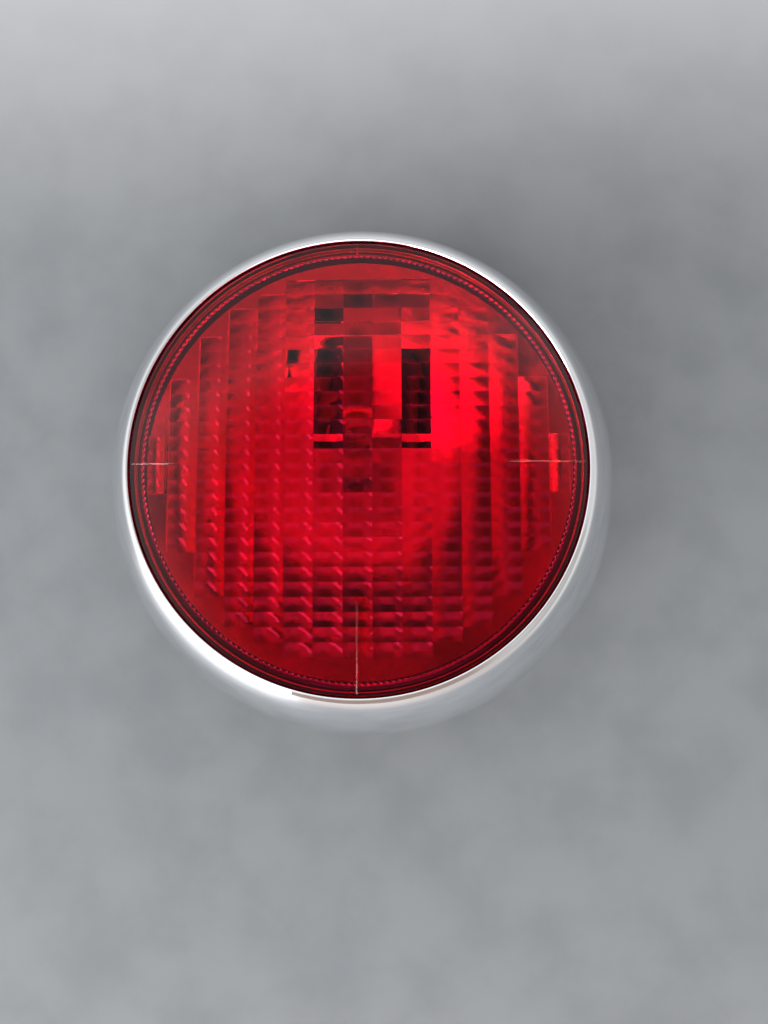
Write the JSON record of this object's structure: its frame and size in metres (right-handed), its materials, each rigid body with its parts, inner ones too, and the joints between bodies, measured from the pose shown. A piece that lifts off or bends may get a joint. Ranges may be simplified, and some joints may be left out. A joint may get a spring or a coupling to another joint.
{
  "type": "motorcycle tail light",
  "caption": "Round tail light: chromed steel rim and red prismatic lens on a deep housing with reflector, bayonet bulb in a sprung socket, terminals, plate window and rubber base pad.",
  "frame": {"origin": "centre of the rubber base pad's rear face, on which the lamp lies", "axes": "+Z along the optical axis, out through the lens; +Y towards the edge that is uppermost on the motorcycle; +X to the right when looking at the lens"},
  "size_m": [0.1208, 0.1208, 0.0537],
  "materials": {
    "rim_chrome": "bright chrome plate on drawn steel",
    "lens_red": "clear red moulded acrylic, prismatic inside",
    "seal_rubber": "black moulded rubber",
    "reflector_bright": "brightened pressed steel",
    "housing_paint": "black stove enamel",
    "pad_rubber": "moulded rubber, lightly ribbed",
    "grommet_rubber": "soft black rubber",
    "zinc_steel": "zinc plated steel",
    "rivet_steel": "plain steel",
    "screw_steel": "zinc plated steel, turned",
    "window_plastic": "clear moulded plastic",
    "phenolic": "brown phenolic",
    "brass": "turned brass",
    "lead_grey": "PVC sleeve",
    "lead_red": "PVC sleeve",
    "lead_brown": "PVC sleeve",
    "socket_nickel": "nickel plated brass",
    "spring_steel": "plain spring wire",
    "bulb_glass": "clear blown glass",
    "bulb_brass": "drawn brass",
    "black_glass": "black glass insulator",
    "solder": "tinned solder",
    "tungsten": "tungsten wire"
  },
  "bodies": {
    "lamp_body": {"housing": "housing_paint", "carrier_ring": "housing_paint", "base_pad": "pad_rubber", "cable_grommet": "grommet_rubber", "mount_nut_left": "zinc_steel", "mount_nut_right": "zinc_steel", "plate_window": "window_plastic", "window_seal": "seal_rubber", "reflector": "reflector_bright", "lens_gasket": "seal_rubber", "socket_bracket": "zinc_steel", "bracket_rivet_left": "rivet_steel", "bracket_rivet_right": "rivet_steel", "terminal_block": "phenolic", "terminal_screw_tail": "brass", "terminal_screw_earth": "brass", "terminal_screw_brake": "brass", "lead_tail": "lead_grey", "lead_brake": "lead_red", "lead_earth": "lead_brown", "socket_shell": "socket_nickel", "socket_cap": "phenolic", "contact_spring": "spring_steel"},
    "rim_and_lens": {"bezel_rim": "rim_chrome", "lens": "lens_red", "rim_lug_1": "zinc_steel", "rim_lug_2": "zinc_steel", "rim_lug_3": "zinc_steel"},
    "screw_1": {"rim_screw_1": "screw_steel"},
    "screw_2": {"rim_screw_2": "screw_steel"},
    "screw_3": {"rim_screw_3": "screw_steel"},
    "contacts": {"contact_disc": "phenolic", "contact_rivet_tail": "brass", "contact_rivet_brake": "brass"},
    "bulb": {"bulb_glass": "bulb_glass", "bulb_base": "bulb_brass", "bulb_insulator": "black_glass", "bulb_contact_tail": "solder", "bulb_contact_brake": "solder", "bulb_stem": "bulb_glass", "filament_tail": "tungsten", "filament_brake": "tungsten"}
  },
  "joints": [
    {"name": "rim_lift", "type": "slide", "parent": "lamp_body", "child": "rim_and_lens", "axis": [0, 0, 1], "range_m": [0, 0.055]},
    {"name": "screw_1_turn", "type": "hinge", "parent": "lamp_body", "child": "screw_1", "pos_m": [0, 0.0543, 0.027], "axis": [0, 0, 1], "continuous": true},
    {"name": "screw_2_turn", "type": "hinge", "parent": "lamp_body", "child": "screw_2", "pos_m": [-0.04702, -0.02715, 0.027], "axis": [0, 0, 1], "continuous": true},
    {"name": "screw_3_turn", "type": "hinge", "parent": "lamp_body", "child": "screw_3", "pos_m": [0.04702, -0.02715, 0.027], "axis": [0, 0, 1], "continuous": true},
    {"name": "contact_press", "type": "slide", "parent": "lamp_body", "child": "contacts", "axis": [0, 1, 0], "range_m": [0, 0.0015], "stiffness_N_per_m": 1500, "springref_m": -0.003, "deforming": ["contact_spring"]},
    {"name": "bulb_turn", "type": "hinge", "parent": "contacts", "child": "bulb", "pos_m": [0, -0.003, 0.027], "axis": [0, 1, 0], "range_deg": [0, 20]}
  ]
}
